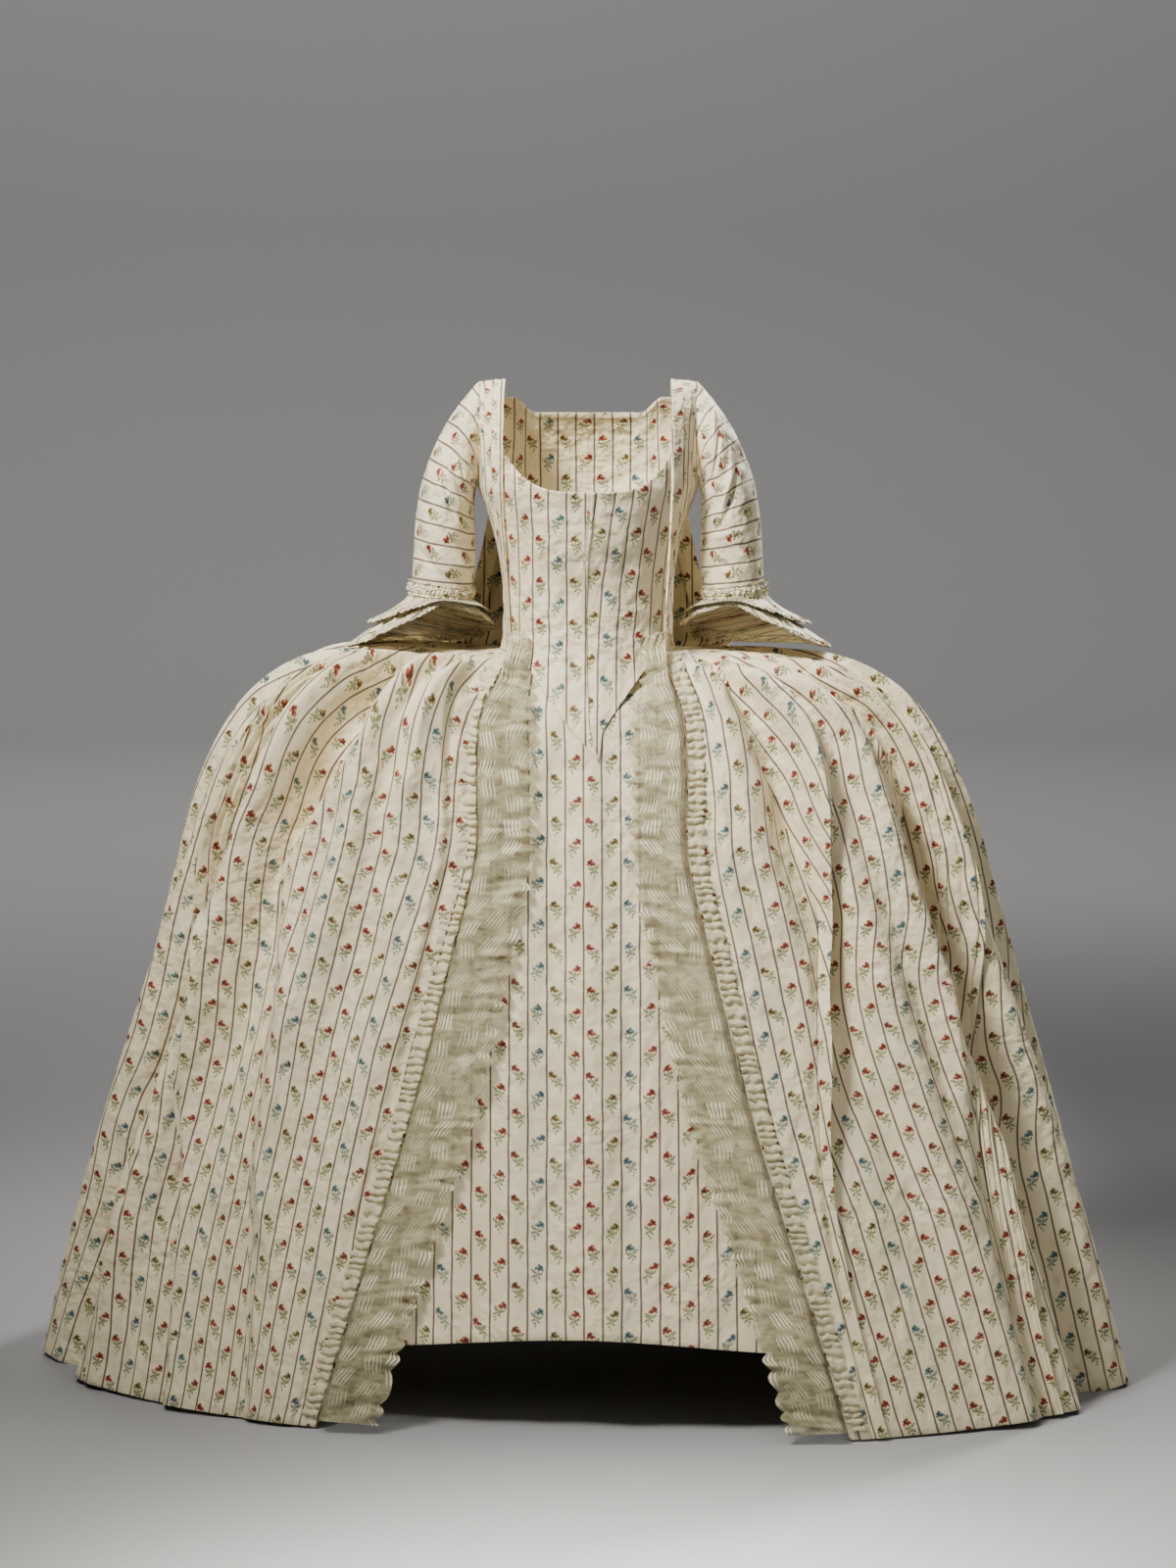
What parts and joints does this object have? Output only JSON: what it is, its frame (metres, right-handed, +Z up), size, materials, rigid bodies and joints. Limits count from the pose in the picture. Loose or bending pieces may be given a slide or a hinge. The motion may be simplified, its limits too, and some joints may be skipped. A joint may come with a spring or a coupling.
{
  "type": "robe a la francaise",
  "caption": "Open silk gown with a closed pointed bodice, elbow sleeves with flounced cuffs, pleated sack back and gauze and ribbon trim, worn over a matching petticoat on side hoops.",
  "frame": {"origin": "centre of the waist opening at the waist seam, 0.975 m over the ground, where the wearer's waist holds the garment", "axes": "+Z up, the front faces -Y, +X towards the wearer's left"},
  "size_m": [1.4479, 0.9935, 1.3354],
  "materials": {
    "silk": "crisp striped silk with small flower sprigs",
    "gauze": "sheer silk gauze",
    "ribbon": "pleated silk ribbon"
  },
  "bodies": {
    "root": {"bodice_front_left": "silk", "robing_left": "silk", "bodice_side_left": "silk", "bodice_back_left": "silk", "sleeve_left": "silk", "sleeve_band_left": "silk", "cuff_lower_left": "silk", "cuff_upper_left": "silk", "gown_skirt_left": "silk", "sack_back_left": "silk", "gauze_flounce_left": "gauze", "ribbon_ruche_left": "ribbon", "bodice_front_right": "silk", "robing_right": "silk", "bodice_side_right": "silk", "bodice_back_right": "silk", "sleeve_right": "silk", "sleeve_band_right": "silk", "cuff_lower_right": "silk", "cuff_upper_right": "silk", "gown_skirt_right": "silk", "sack_back_right": "silk", "gauze_flounce_right": "gauze", "ribbon_ruche_right": "ribbon", "petticoat_front": "silk", "petticoat_front_side_right": "silk", "petticoat_back_side_right": "silk", "petticoat_back": "silk", "petticoat_back_side_left": "silk", "petticoat_front_side_left": "silk"}
  },
  "joints": []
}
